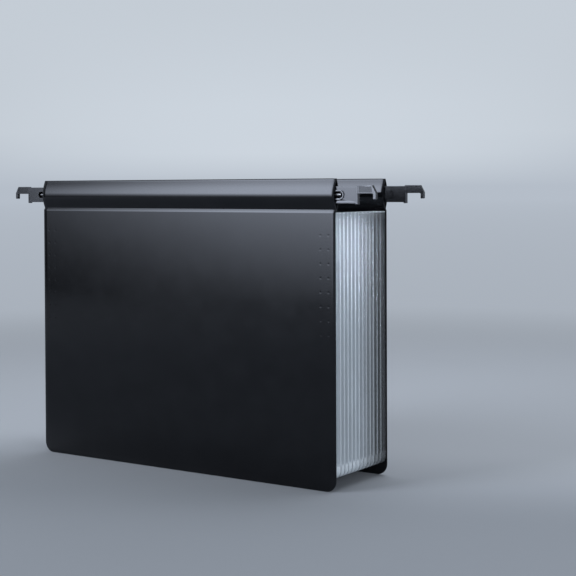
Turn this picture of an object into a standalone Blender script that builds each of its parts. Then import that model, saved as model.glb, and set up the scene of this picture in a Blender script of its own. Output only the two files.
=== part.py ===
"""Expanding file with hanging rails.

Two plastic cover sheets are folded over at the top into sleeves. A steel rod with a moulded hook
plate on each end runs through each sleeve, so that the file hangs on a drawer's rails. Between
the covers stand twelve divider sheets. A pleated film closes each of the thirteen pockets at the
left, the bottom and the right, and lets the pocket open and close.

The origin is on the floor at the middle of the file. X runs along the rods, Z is up, and the
front cover is on the -Y side. All sizes are in metres.
"""

import math

import bmesh
import bpy

# Cover sheets
COVER_WIDTH = 0.330
COVER_HEIGHT = 0.260
COVER_THICKNESS = 0.0009
COVER_CORNER_RADIUS = 0.010

# Stack of pockets, as the file stands at rest
POCKET_COUNT = 13
FILE_DEPTH = 0.0843
END_POCKET_DEPTH = 0.0083

# Sleeve folded at the top of each cover
SLEEVE_HEIGHT = 0.026
SLEEVE_THICKNESS = 0.008
SLEEVE_SET_BACK = 0.0022
SLEEVE_FOLD_GAP = 0.0001
SLEEVE_FOOT_HEIGHT = 0.0021

# Pleated film of the pockets
FILM_THICKNESS = 0.0004
PLEAT_DEPTH = 0.011
PLEAT_INSET = 0.001
PLEAT_CORNER_RADIUS = 0.014
PLEAT_FLOOR_GAP = 0.010
PLEAT_FOLD_WIDTH = 0.0006
FLANGE_WIDTH = 0.0132

# Divider sheets
DIVIDER_THICKNESS = 0.0005
DIVIDER_TOP_DROP = 0.0055

# Steel rod in each sleeve
ROD_DIAMETER = 0.0032
ROD_REACH = 0.005

# Hook plate on each end of a rod
HOOK_PLATE_REACH = 0.0213
HOOK_PLATE_HEIGHT = 0.014
HOOK_PLATE_THICKNESS = 0.0034
HOOK_TAIL_LENGTH = 0.018
HOOK_FOOT_WIDTH = 0.0023
HOOK_FOOT_DROP = 0.0009
HOOK_NOTCH_WIDTH = 0.0142
HOOK_ARM_HEIGHT = 0.0068
HOOK_ARM_RISE = 0.0007
HOOK_ARM_ROOT = 0.0018
HOOK_ARM_THICKNESS = 0.0029
HOOK_LIP_WIDTH = 0.0029
HOOK_LIP_DROP = 0.0047
HOOK_NOSE_WIDTH = 0.0034
HOOK_NOSE_HEIGHT = 0.006
HOOK_FILLET_RADIUS = 0.0008
HOOK_SLOT_HEIGHT = 0.006
HOOK_SLOT_REACH = 0.0072
HOOK_SLOT_TAIL = 0.004
HOOK_RIM_WIDTH = 0.0009
HOOK_RIM_THICKNESS = 0.0046

# Clearances
FIT_GAP = 0.0003
ROD_CLEARANCE = 0.0002
CUT_OVERRUN = 0.001

# Facets of the rounded shapes
CORNER_STEPS = 7
SLEEVE_STEPS = 12
FOLD_STEPS = 6
FILLET_STEPS = 3
ROD_SIDES = 20
SMOOTH_ANGLE = math.radians(32)

# Places that follow from the sizes
HALF_WIDTH = COVER_WIDTH / 2
INNER_FACE = FILE_DEPTH / 2 - COVER_THICKNESS
CREASE_LEVEL = COVER_HEIGHT - SLEEVE_HEIGHT
PLEAT_TOP = CREASE_LEVEL - SLEEVE_FOOT_HEIGHT - FIT_GAP
PLEAT_HALF_WIDTH = HALF_WIDTH - PLEAT_INSET
DIVIDER_TOP = PLEAT_TOP - DIVIDER_TOP_DROP
INNER_PITCH = 2 * (INNER_FACE - END_POCKET_DEPTH) / (POCKET_COUNT - 2)

FOLD_RADIUS = COVER_THICKNESS + SLEEVE_FOLD_GAP
FOLD_LEVEL = COVER_HEIGHT - FOLD_RADIUS
RAIL_LEVEL = (CREASE_LEVEL + FOLD_LEVEL) / 2
RAIL_OFFSET = FILE_DEPTH / 2 - SLEEVE_SET_BACK


def clear_scene():
    """Remove what the scene holds."""
    for old in list(bpy.data.objects):
        bpy.data.objects.remove(old)


def finish_material(name, colour, roughness, metallic=0.0, alpha=1.0):
    """A Principled material for one kind of sub-part."""
    material = bpy.data.materials.new(name)
    material.use_nodes = True
    shader = material.node_tree.nodes["Principled BSDF"]
    shader.inputs["Base Color"].default_value = (*colour, 1.0)
    shader.inputs["Roughness"].default_value = roughness
    shader.inputs["Metallic"].default_value = metallic
    shader.inputs["Alpha"].default_value = alpha
    return material


def add_object(name, points, faces, material, location=(0.0, 0.0, 0.0)):
    """One object from points and faces, with its faces turned outward and round parts smooth."""
    mesh = bpy.data.meshes.new(name)
    mesh.from_pydata(points, [], faces)
    shape = bmesh.new()
    shape.from_mesh(mesh)
    bmesh.ops.recalc_face_normals(shape, faces=shape.faces)
    shape.to_mesh(mesh)
    shape.free()
    mesh.shade_smooth()
    mesh.set_sharp_from_angle(angle=SMOOTH_ANGLE)
    mesh.materials.append(material)
    piece = bpy.data.objects.new(name, mesh)
    piece.location = location
    bpy.context.collection.objects.link(piece)
    return piece


def extruded(outline, near, far):
    """Points and faces of an XZ outline that runs from near to far along Y."""
    count = len(outline)
    points = [(x, near, z) for x, z in outline] + [(x, far, z) for x, z in outline]
    faces = [tuple(range(count)), tuple(reversed(range(count, 2 * count)))]
    for i in range(count):
        j = (i + 1) % count
        faces.append((i, i + count, j + count, j))
    return points, faces


def sheet_path(half_width, bottom, top, radius):
    """The U-shaped edge of a sheet, from its top left corner round to its top right corner.

    Each entry is a point (x, z) and the direction that points into the sheet there.
    """
    level = bottom + radius
    path = [((-half_width, top), (1.0, 0.0))]
    for side, start in ((-1, math.pi), (1, 1.5 * math.pi)):
        centre = side * (half_width - radius)
        for step in range(CORNER_STEPS + 1):
            angle = start + 0.5 * math.pi * step / CORNER_STEPS
            outward = (math.cos(angle), math.sin(angle))
            point = (centre + radius * outward[0], level + radius * outward[1])
            path.append((point, (-outward[0], -outward[1])))
    path.append(((half_width, top), (-1.0, 0.0)))
    return path


def sleeve_loop(middle, ends):
    """The sleeve's outline as (outward, z), from the crease in front over the top to the back.

    middle and ends are its half thickness at the height of the rod, and at the crease and fold.
    """
    front = []
    for step in range(SLEEVE_STEPS + 1):
        share = step / SLEEVE_STEPS
        half = ends + (middle - ends) * math.sin(math.pi * share)
        front.append((half, CREASE_LEVEL + share * (FOLD_LEVEL - CREASE_LEVEL)))
    fold = []
    for step in range(1, FOLD_STEPS):
        angle = math.pi * step / FOLD_STEPS
        fold.append((ends * math.cos(angle), FOLD_LEVEL + ends * math.sin(angle)))
    back = [(-half, z) for half, z in reversed(front)]
    return [(half - SLEEVE_SET_BACK, z) for half, z in front + fold + back]


def build_cover(name, side, material):
    """A cover sheet, its folded sleeve and the sleeve's foot, welded to the sheet at the crease.

    side is -1 for the front cover and 1 for the back cover.
    """
    outer = sleeve_loop(SLEEVE_THICKNESS / 2, FOLD_RADIUS)
    inner = sleeve_loop(SLEEVE_THICKNESS / 2 - COVER_THICKNESS, SLEEVE_FOLD_GAP)
    last = len(outer) - 1
    foot_level = CREASE_LEVEL - SLEEVE_FOOT_HEIGHT
    foot = [(outer[last][0], foot_level), (-COVER_THICKNESS, foot_level), (0.0, foot_level)]
    path = sheet_path(HALF_WIDTH, 0.0, foot_level, COVER_CORNER_RADIUS)
    edge = [point for point, _ in path[1:-1]]

    points = []

    def add(x, outward, z):
        points.append((x, side * (FILE_DEPTH / 2 + outward), z))
        return len(points) - 1

    ends = {}
    for x in (-HALF_WIDTH, HALF_WIDTH):
        ends[x] = (
            [add(x, *spot) for spot in outer],
            [add(x, *spot) for spot in inner],
            [add(x, *spot) for spot in foot],
        )
    left_outer, left_inner, left_foot = ends[-HALF_WIDTH]
    right_outer, right_inner, right_foot = ends[HALF_WIDTH]
    front_edge = [add(x, 0.0, z) for x, z in edge]
    back_edge = [add(x, -COVER_THICKNESS, z) for x, z in edge]

    faces = []
    for i in range(last):
        faces.append((left_outer[i], left_outer[i + 1], right_outer[i + 1], right_outer[i]))
        faces.append((right_inner[i], right_inner[i + 1], left_inner[i + 1], left_inner[i]))
        for wall, bore in ((left_outer, left_inner), (right_outer, right_inner)):
            faces.append((wall[i], bore[i], bore[i + 1], wall[i + 1]))
    faces.append((left_inner[0], left_inner[last], right_inner[last], right_inner[0]))
    for wall, bore, low in (
        (left_outer, left_inner, left_foot),
        (right_outer, right_inner, right_foot),
    ):
        faces.append((wall[0], bore[0], bore[last], wall[last], *low))
    faces.append((left_outer[last], right_outer[last], right_foot[0], left_foot[0]))
    faces.append((left_foot[0], right_foot[0], right_foot[1], left_foot[1]))
    faces.append((left_foot[2], right_foot[2], right_outer[0], left_outer[0]))
    front_rim = [left_foot[2], *front_edge, right_foot[2]]
    back_rim = [left_foot[1], *back_edge, right_foot[1]]
    faces.append(tuple(front_rim))
    faces.append(tuple(back_rim))
    for i in range(len(front_rim) - 1):
        faces.append((front_rim[i], back_rim[i], back_rim[i + 1], front_rim[i + 1]))
    return add_object(name, points, faces, material)


def build_divider(name, centre, material):
    """A flat sheet with rounded lower corners, standing with its middle plane at Y = 0."""
    path = sheet_path(PLEAT_HALF_WIDTH, PLEAT_FLOOR_GAP, DIVIDER_TOP, PLEAT_CORNER_RADIUS)
    half = DIVIDER_THICKNESS / 2
    points, faces = extruded([point for point, _ in path], -half, half)
    return add_object(name, points, faces, material, (0.0, centre, 0.0))


def pleat_section(half, flange_side):
    """The film across one pocket, as (inward, y): a V with its fold towards the pocket.

    flange_side is -1 or 1 where the film also lies on the cover on that side, and 0 elsewhere.
    """
    fold = PLEAT_FOLD_WIDTH / 2
    slope = (half - fold) / PLEAT_DEPTH
    valley = (half - FILM_THICKNESS) / slope
    section = []
    for side in (-1, 1):
        ridge = [(0.0, side * half)]
        if side == flange_side:
            ridge.append((FLANGE_WIDTH, side * half))
            ridge.append((FLANGE_WIDTH, side * (half - FILM_THICKNESS)))
            ridge.append((FILM_THICKNESS / slope, side * (half - FILM_THICKNESS)))
        ridge.append((PLEAT_DEPTH, side * fold))
        section.extend(ridge if side < 0 else reversed(ridge))
    section.append((0.0, half - FILM_THICKNESS))
    section.append((valley, 0.0))
    section.append((0.0, FILM_THICKNESS - half))
    return section


def build_pleat(name, low, high, flange_side, material):
    """The film of the pocket between the planes Y = low and Y = high, swept round its U."""
    centre = (low + high) / 2
    section = pleat_section((high - low) / 2 - FIT_GAP, flange_side)
    path = sheet_path(PLEAT_HALF_WIDTH, PLEAT_FLOOR_GAP, PLEAT_TOP, PLEAT_CORNER_RADIUS)
    points = []
    for (x, z), (turn_x, turn_z) in path:
        for inward, y in section:
            points.append((x + inward * turn_x, y, z + inward * turn_z))
    count = len(section)
    faces = [tuple(range(count)), tuple(range(len(points) - count, len(points)))]
    for station in range(len(path) - 1):
        start = station * count
        for i in range(count):
            j = (i + 1) % count
            faces.append((start + i, start + j, start + j + count, start + i + count))
    return add_object(name, points, faces, material, (0.0, centre, 0.0))


def build_rod(name, y, material):
    """A steel rod along X, with its ends showing in the slots of the hook plates."""
    length = COVER_WIDTH + 2 * ROD_REACH
    shape = bmesh.new()
    bmesh.ops.create_cone(
        shape,
        cap_ends=True,
        segments=ROD_SIDES,
        radius1=ROD_DIAMETER / 2,
        radius2=ROD_DIAMETER / 2,
        depth=length,
    )
    mesh = bpy.data.meshes.new(name)
    shape.to_mesh(mesh)
    shape.free()
    mesh.shade_smooth()
    mesh.set_sharp_from_angle(angle=SMOOTH_ANGLE)
    mesh.materials.append(material)
    rod = bpy.data.objects.new(name, mesh)
    rod.location = (0.0, y, RAIL_LEVEL)
    rod.rotation_euler = (0.0, math.pi / 2, 0.0)
    bpy.context.collection.objects.link(rod)
    return rod


def filleted(corners):
    """An outline from corners (u, w, radius), each with a radius turned into an arc."""
    outline = []
    count = len(corners)
    for i, (u, w, radius) in enumerate(corners):
        if not radius:
            outline.append((u, w))
            continue
        arms = []
        for other in (corners[i - 1], corners[(i + 1) % count]):
            reach = math.hypot(other[0] - u, other[1] - w)
            arms.append(((other[0] - u) / reach, (other[1] - w) / reach))
        (au, aw), (bu, bw) = arms
        half_angle = 0.5 * math.acos(au * bu + aw * bw)
        back = radius / math.tan(half_angle)
        middle = math.hypot(au + bu, aw + bw)
        depth = radius / math.sin(half_angle) / middle
        centre = (u + (au + bu) * depth, w + (aw + bw) * depth)
        first = math.atan2(w + aw * back - centre[1], u + au * back - centre[0])
        final = math.atan2(w + bw * back - centre[1], u + bu * back - centre[0])
        turn = (final - first + math.pi) % (2 * math.pi) - math.pi
        for step in range(FILLET_STEPS + 1):
            angle = first + turn * step / FILLET_STEPS
            outline.append(
                (centre[0] + radius * math.cos(angle), centre[1] + radius * math.sin(angle))
            )
    return outline


def hook_levels():
    """The heights above the rod's axis of the plate's top, the arm's top and underside."""
    top = HOOK_PLATE_HEIGHT / 2
    arm_top = top + HOOK_ARM_RISE
    return top, arm_top, arm_top - HOOK_ARM_HEIGHT


def plate_outline():
    """The plate as (u, w): u beyond the cover's side, w above the rod's axis."""
    top = hook_levels()[0]
    foot = HOOK_PLATE_REACH - HOOK_FOOT_WIDTH
    return filleted(
        [
            (-HOOK_TAIL_LENGTH, -top, HOOK_FILLET_RADIUS),
            (foot, -top, 0.0),
            (foot, -top - HOOK_FOOT_DROP, HOOK_FOOT_DROP / 2),
            (HOOK_PLATE_REACH, -top - HOOK_FOOT_DROP, HOOK_FOOT_DROP / 2),
            (HOOK_PLATE_REACH, top, 0.0),
            (-HOOK_TAIL_LENGTH, top, HOOK_FILLET_RADIUS),
        ]
    )


def arm_outline():
    """The arm that reaches over a drawer's rail, with its lip and sloping nose, as (u, w)."""
    top, arm_top, arm_under = hook_levels()
    root = HOOK_PLATE_REACH - HOOK_ARM_ROOT
    lip = HOOK_PLATE_REACH + HOOK_NOTCH_WIDTH
    tip = lip + HOOK_LIP_WIDTH
    lip_bottom = arm_under - HOOK_LIP_DROP
    return filleted(
        [
            (root, arm_under, 0.0),
            (lip, arm_under, HOOK_FILLET_RADIUS),
            (lip, lip_bottom, HOOK_FILLET_RADIUS / 2),
            (tip, lip_bottom, HOOK_FILLET_RADIUS),
            (tip, arm_top - HOOK_NOSE_HEIGHT, HOOK_FILLET_RADIUS),
            (tip - HOOK_NOSE_WIDTH, arm_top, HOOK_FILLET_RADIUS),
            (root + HOOK_ARM_RISE, arm_top, 0.0),
            (root, top - HOOK_ARM_RISE, 0.0),
        ]
    )


def slot_outline(grow, tail):
    """The slot as (u, w), round at its outer end and open to tail, or its rim, grown all round."""
    half = HOOK_SLOT_HEIGHT / 2 + grow
    middle = HOOK_SLOT_REACH - HOOK_SLOT_HEIGHT / 2
    outline = [(tail, half), (tail, -half)]
    for step in range(CORNER_STEPS + 1):
        angle = math.pi * (step / CORNER_STEPS - 0.5)
        outline.append((middle + half * math.cos(angle), half * math.sin(angle)))
    return outline


def add_helper(name, shape, host, operation):
    """A helper shape that a Boolean joins to its host or cuts from it."""
    helper = add_object(name, *shape, host.data.materials[0], host.location)
    helper.hide_render = True
    helper.display_type = "WIRE"
    modifier = host.modifiers.new(name, "BOOLEAN")
    modifier.operation = operation
    modifier.object = helper
    modifier.solver = "EXACT"


def bore_shape(start, end):
    """A cylinder along X round the rod, from start to end."""
    radius = ROD_DIAMETER / 2 + ROD_CLEARANCE
    points = []
    for x in (start, end):
        for step in range(ROD_SIDES):
            angle = 2 * math.pi * step / ROD_SIDES
            points.append((x, radius * math.cos(angle), radius * math.sin(angle)))
    faces = [tuple(range(ROD_SIDES)), tuple(range(ROD_SIDES, 2 * ROD_SIDES))]
    for i in range(ROD_SIDES):
        j = (i + 1) % ROD_SIDES
        faces.append((i, j, j + ROD_SIDES, i + ROD_SIDES))
    return points, faces


def build_hook(name, side_x, side_y, material):
    """A hook plate: its slot faces out of the file, and its bore holds the rod in the sleeve.

    side_x is -1 on the left and 1 on the right, side_y is -1 at the front and 1 at the back.
    """

    def placed(outline):
        return [(side_x * (HALF_WIDTH + u), w) for u, w in outline]

    plate_half = HOOK_PLATE_THICKNESS / 2
    arm_half = HOOK_ARM_THICKNESS / 2
    rim_half = HOOK_RIM_THICKNESS / 2
    place = (0.0, side_y * RAIL_OFFSET, RAIL_LEVEL)
    plate = extruded(placed(plate_outline()), -plate_half, plate_half)
    hook = add_object(name, *plate, material, place)

    arm = extruded(placed(arm_outline()), -arm_half, arm_half)
    add_helper(f"{name}_arm_shape", arm, hook, "UNION")

    rim_outline = slot_outline(HOOK_RIM_WIDTH, -HOOK_TAIL_LENGTH + HOOK_RIM_WIDTH)
    rim = extruded(placed(rim_outline), -rim_half, rim_half)
    add_helper(f"{name}_rim_shape", rim, hook, "UNION")

    floor = -side_y * (ROD_DIAMETER / 2 + ROD_CLEARANCE)
    mouth = side_y * (rim_half + CUT_OVERRUN)
    slot = extruded(placed(slot_outline(0.0, -HOOK_SLOT_TAIL)), min(floor, mouth), max(floor, mouth))
    add_helper(f"{name}_slot_shape", slot, hook, "DIFFERENCE")

    tail_end = side_x * (HALF_WIDTH - HOOK_TAIL_LENGTH - CUT_OVERRUN)
    slot_end = side_x * (HALF_WIDTH - HOOK_SLOT_TAIL + CUT_OVERRUN)
    add_helper(f"{name}_bore_shape", bore_shape(tail_end, slot_end), hook, "DIFFERENCE")
    return hook


def build_rail(place, side, steel, plastic):
    """The rod and the two hook plates of the front or the back sleeve."""
    build_rod(f"{place}_rod", side * RAIL_OFFSET, steel)
    build_hook(f"{place}_hook_left", -1, side, plastic)
    build_hook(f"{place}_hook_right", 1, side, plastic)


def divider_places():
    """The Y of each divider's middle plane, from the front to the back."""
    first = -INNER_FACE + END_POCKET_DEPTH
    return [first + INNER_PITCH * index for index in range(POCKET_COUNT - 1)]


def main():
    clear_scene()
    cover_black = finish_material("cover_black", (0.012, 0.012, 0.013), 0.38)
    hook_black = finish_material("hook_black", (0.016, 0.016, 0.017), 0.42)
    frosted_film = finish_material("frosted_film", (0.66, 0.70, 0.74), 0.45, alpha=0.75)
    frosted_sheet = finish_material("frosted_sheet", (0.70, 0.74, 0.78), 0.45, alpha=0.75)
    steel = finish_material("steel", (0.62, 0.62, 0.62), 0.25, metallic=1.0)

    build_cover("front_cover", -1, cover_black)
    build_cover("back_cover", 1, cover_black)
    build_rail("front", -1, steel, hook_black)
    build_rail("back", 1, steel, hook_black)

    places = divider_places()
    for number, y in enumerate(places, start=1):
        build_divider(f"divider_{number:02d}", y, frosted_sheet)

    half_sheet = DIVIDER_THICKNESS / 2
    lows = [-INNER_FACE] + [y + half_sheet for y in places]
    highs = [y - half_sheet for y in places] + [INNER_FACE]
    for number, (low, high) in enumerate(zip(lows, highs), start=1):
        flange_side = {1: -1, POCKET_COUNT: 1}.get(number, 0)
        build_pleat(f"pleat_{number:02d}", low, high, flange_side, frosted_film)


main()
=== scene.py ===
"""Looks of an expanding hanging file: covers, rails, dividers, pleated film and a plain studio."""

import math
from typing import NamedTuple

import bmesh
import bpy
from bpy.props import FloatProperty, FloatVectorProperty, PointerProperty
from mathutils import Matrix, Vector


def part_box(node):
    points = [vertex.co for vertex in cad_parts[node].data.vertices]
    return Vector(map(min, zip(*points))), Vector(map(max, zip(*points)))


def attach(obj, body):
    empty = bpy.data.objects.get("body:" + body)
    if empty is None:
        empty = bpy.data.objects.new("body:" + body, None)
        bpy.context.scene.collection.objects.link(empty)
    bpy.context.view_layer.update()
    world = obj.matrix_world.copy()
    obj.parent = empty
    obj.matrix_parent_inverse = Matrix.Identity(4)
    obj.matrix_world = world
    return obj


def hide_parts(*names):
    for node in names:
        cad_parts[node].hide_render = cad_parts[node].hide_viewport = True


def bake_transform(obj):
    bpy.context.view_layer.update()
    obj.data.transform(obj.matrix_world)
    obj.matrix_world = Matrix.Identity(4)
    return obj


bl_info = {
    "name": "Expanding Hanging File",
    "version": (1, 0, 0),
    "blender": (4, 5, 0),
    "location": "3D View > Sidebar > Hanging File",
    "description": "Dresses the expanding hanging file: covers, rails, dividers and pleated film",
    "category": "Object",
}

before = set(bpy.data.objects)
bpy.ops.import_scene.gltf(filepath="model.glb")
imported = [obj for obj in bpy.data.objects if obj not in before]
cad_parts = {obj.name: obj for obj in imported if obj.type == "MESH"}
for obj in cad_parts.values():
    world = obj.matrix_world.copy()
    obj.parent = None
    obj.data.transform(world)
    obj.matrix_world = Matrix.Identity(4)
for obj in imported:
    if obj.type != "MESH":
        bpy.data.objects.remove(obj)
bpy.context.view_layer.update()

FRONT, BACK = -1, 1
PLACES = {FRONT: "front", BACK: "back"}
SIDES = {-1: "left", 1: "right"}
POCKETS = sum(1 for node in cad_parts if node.startswith("pleat_"))
UP = (0.0, 0.0, 1.0)


class CoverSettings(bpy.types.PropertyGroup):
    """Sizes and colour of the two cover sheets."""

    thickness: FloatProperty(
        name="Sheet thickness", description="Thickness of the plastic sheet",
        default=0.0009, min=0.0004, max=0.002, unit="LENGTH",
    )
    sleeve_height: FloatProperty(
        name="Sleeve height", description="From the crease to the top of the cover",
        default=0.026, min=0.015, max=0.04, unit="LENGTH",
    )
    sleeve_set_back: FloatProperty(
        name="Sleeve set back", description="Sleeve's middle plane behind the sheet's outer face",
        default=0.0022, min=0.0, max=0.004, unit="LENGTH",
    )
    fold_gap: FloatProperty(
        name="Fold gap", description="Half the gap between the sleeve's walls at the crease",
        default=0.0001, min=0.0, max=0.0005, unit="LENGTH",
    )
    foot_height: FloatProperty(
        name="Weld height", description="Height of the welded strip under the crease",
        default=0.0021, min=0.001, max=0.006, unit="LENGTH",
    )
    corner_radius: FloatProperty(
        name="Corner radius", description="Radius of the lower corners",
        default=0.010, min=0.002, max=0.02, unit="LENGTH",
    )
    edge_radius: FloatProperty(
        name="Edge radius", description="Rounding of the cut edges",
        default=0.0002, min=0.0, max=0.0004, unit="LENGTH",
    )
    weld_pitch: FloatProperty(
        name="Weld pitch", description="From one weld dot to the next",
        default=0.0118, min=0.006, max=0.03, unit="LENGTH",
    )
    weld_radius: FloatProperty(
        name="Weld radius", description="Radius of a weld dot's rim",
        default=0.0012, min=0.0005, max=0.002, unit="LENGTH",
    )
    weld_depth: FloatProperty(
        name="Weld depth", description="How deep a weld dot is pressed in",
        default=0.00003, min=0.0, max=0.0005, unit="LENGTH",
    )
    colour: FloatVectorProperty(
        name="Colour", description="Colour of the plastic", subtype="COLOR", size=3,
        default=(0.0026, 0.0027, 0.0031), min=0.0, max=1.0,
    )


class RailSettings(bpy.types.PropertyGroup):
    """Sizes and colours of the rods and hook plates."""

    rod_diameter: FloatProperty(
        name="Rod diameter", description="Diameter of the steel rod",
        default=0.0032, min=0.002, max=0.005, unit="LENGTH",
    )
    rod_clearance: FloatProperty(
        name="Rod clearance", description="Gap between the rod and a hook plate's bore",
        default=0.0002, min=0.0001, max=0.001, unit="LENGTH",
    )
    plate_reach: FloatProperty(
        name="Plate reach", description="How far a hook plate stands out of the sleeve",
        default=0.0213, min=0.015, max=0.03, unit="LENGTH",
    )
    plate_height: FloatProperty(
        name="Plate height", description="Height of a hook plate",
        default=0.014, min=0.01, max=0.018, unit="LENGTH",
    )
    plate_thickness: FloatProperty(
        name="Plate thickness", description="Thickness of a hook plate",
        default=0.0034, min=0.002, max=0.005, unit="LENGTH",
    )
    tail_length: FloatProperty(
        name="Tail length", description="How far a hook plate reaches into the sleeve",
        default=0.018, min=0.01, max=0.03, unit="LENGTH",
    )
    foot_width: FloatProperty(
        name="Foot width", description="Width of the foot under a plate's outer corner",
        default=0.0023, min=0.001, max=0.004, unit="LENGTH",
    )
    foot_drop: FloatProperty(
        name="Foot drop", description="How far the foot stands below the plate",
        default=0.0009, min=0.0002, max=0.002, unit="LENGTH",
    )
    notch_width: FloatProperty(
        name="Notch width", description="From the plate to the lip",
        default=0.0142, min=0.008, max=0.02, unit="LENGTH",
    )
    arm_height: FloatProperty(
        name="Arm height", description="Height of the arm over the notch",
        default=0.0068, min=0.004, max=0.01, unit="LENGTH",
    )
    arm_rise: FloatProperty(
        name="Arm rise", description="How far the arm stands above the plate",
        default=0.0007, min=0.0002, max=0.002, unit="LENGTH",
    )
    arm_root: FloatProperty(
        name="Arm root", description="How far the arm runs into the plate",
        default=0.0018, min=0.001, max=0.004, unit="LENGTH",
    )
    arm_thickness: FloatProperty(
        name="Arm thickness", description="Thickness of the arm and its lip",
        default=0.0029, min=0.0015, max=0.005, unit="LENGTH",
    )
    lip_width: FloatProperty(
        name="Lip width", description="Width of the lip at the arm's end",
        default=0.0029, min=0.0015, max=0.005, unit="LENGTH",
    )
    lip_drop: FloatProperty(
        name="Lip drop", description="How far the lip stands below the arm",
        default=0.0047, min=0.002, max=0.008, unit="LENGTH",
    )
    nose_width: FloatProperty(
        name="Nose width", description="Width of the sloping nose",
        default=0.0034, min=0.001, max=0.005, unit="LENGTH",
    )
    nose_height: FloatProperty(
        name="Nose height", description="Height of the sloping nose",
        default=0.006, min=0.002, max=0.01, unit="LENGTH",
    )
    corner_radius: FloatProperty(
        name="Hook corner radius", description="Radius of the hook's rounded corners",
        default=0.0008, min=0.0002, max=0.0012, unit="LENGTH",
    )
    slot_height: FloatProperty(
        name="Slot height", description="Height of the slot that shows the rod's end",
        default=0.006, min=0.004, max=0.008, unit="LENGTH",
    )
    slot_reach: FloatProperty(
        name="Slot reach", description="How far the slot runs beyond the sleeve",
        default=0.0072, min=0.004, max=0.01, unit="LENGTH",
    )
    slot_tail: FloatProperty(
        name="Slot tail", description="How far the slot runs back into the sleeve",
        default=0.004, min=0.001, max=0.01, unit="LENGTH",
    )
    rim_width: FloatProperty(
        name="Rim width", description="Width of the raised rim round the slot",
        default=0.0009, min=0.0004, max=0.002, unit="LENGTH",
    )
    rim_thickness: FloatProperty(
        name="Rim thickness", description="Thickness of the plate at the slot's rim",
        default=0.0046, min=0.003, max=0.006, unit="LENGTH",
    )
    border_width: FloatProperty(
        name="Border width", description="Width of the raised border round a plate's face",
        default=0.0009, min=0.0003, max=0.002, unit="LENGTH",
    )
    border_height: FloatProperty(
        name="Border height", description="How far the border stands above the face",
        default=0.0003, min=0.0001, max=0.0006, unit="LENGTH",
    )
    edge_radius: FloatProperty(
        name="Hook edge radius", description="Rounding of the outer moulded edges",
        default=0.0003, min=0.0, max=0.0005, unit="LENGTH",
    )
    detail_radius: FloatProperty(
        name="Detail edge radius", description="Rounding of the borders' and the slot's edges",
        default=0.00012, min=0.0, max=0.0002, unit="LENGTH",
    )
    plate_colour: FloatVectorProperty(
        name="Hook colour", description="Colour of the hooks' plastic", subtype="COLOR", size=3,
        default=(0.0045, 0.0047, 0.0054), min=0.0, max=1.0,
    )
    steel_colour: FloatVectorProperty(
        name="Steel colour", description="Colour of the rods", subtype="COLOR", size=3,
        default=(0.14, 0.142, 0.148), min=0.0, max=1.0,
    )


class FilmSettings(bpy.types.PropertyGroup):
    """Sizes and colour of the pleated film."""

    thickness: FloatProperty(
        name="Film thickness", description="Thickness of the film",
        default=0.0004, min=0.0002, max=0.001, unit="LENGTH",
    )
    pleat_depth: FloatProperty(
        name="Pleat depth", description="How far a pleat folds inward",
        default=0.011, min=0.004, max=0.015, unit="LENGTH",
    )
    corner_depth: FloatProperty(
        name="Corner depth", description="Depth of a pleat where the film turns the lower corner",
        default=0.0012, min=0.0005, max=0.008, unit="LENGTH",
    )
    corner_radius: FloatProperty(
        name="Corner radius", description="Radius of the film's lower corners",
        default=0.007, min=0.004, max=0.02, unit="LENGTH",
    )
    corner_band: FloatProperty(
        name="Corner band", description="How far the flattened film runs on past a corner",
        default=0.0028, min=0.0, max=0.01, unit="LENGTH",
    )
    rim_height: FloatProperty(
        name="Rim height", description="Height of the white rim along the film's top edge",
        default=0.0009, min=0.0003, max=0.003, unit="LENGTH",
    )
    flange_width: FloatProperty(
        name="Flange width", description="Width of the strip that is welded to a cover",
        default=0.0132, min=0.005, max=0.02, unit="LENGTH",
    )
    seam_width: FloatProperty(
        name="Seam width", description="Width of the welded seam round a divider's edge",
        default=0.0013, min=0.0008, max=0.002, unit="LENGTH",
    )
    seam_depth: FloatProperty(
        name="Seam depth", description="How far the welded seam covers a divider's edge",
        default=0.0012, min=0.001, max=0.004, unit="LENGTH",
    )
    colour: FloatVectorProperty(
        name="Film colour", description="Colour of the frosted film", subtype="COLOR", size=3,
        default=(0.75, 0.80, 0.84), min=0.0, max=1.0,
    )
    sheet_colour: FloatVectorProperty(
        name="Divider colour", description="Colour of the dividers", subtype="COLOR", size=3,
        default=(0.76, 0.81, 0.85), min=0.0, max=1.0,
    )


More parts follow.
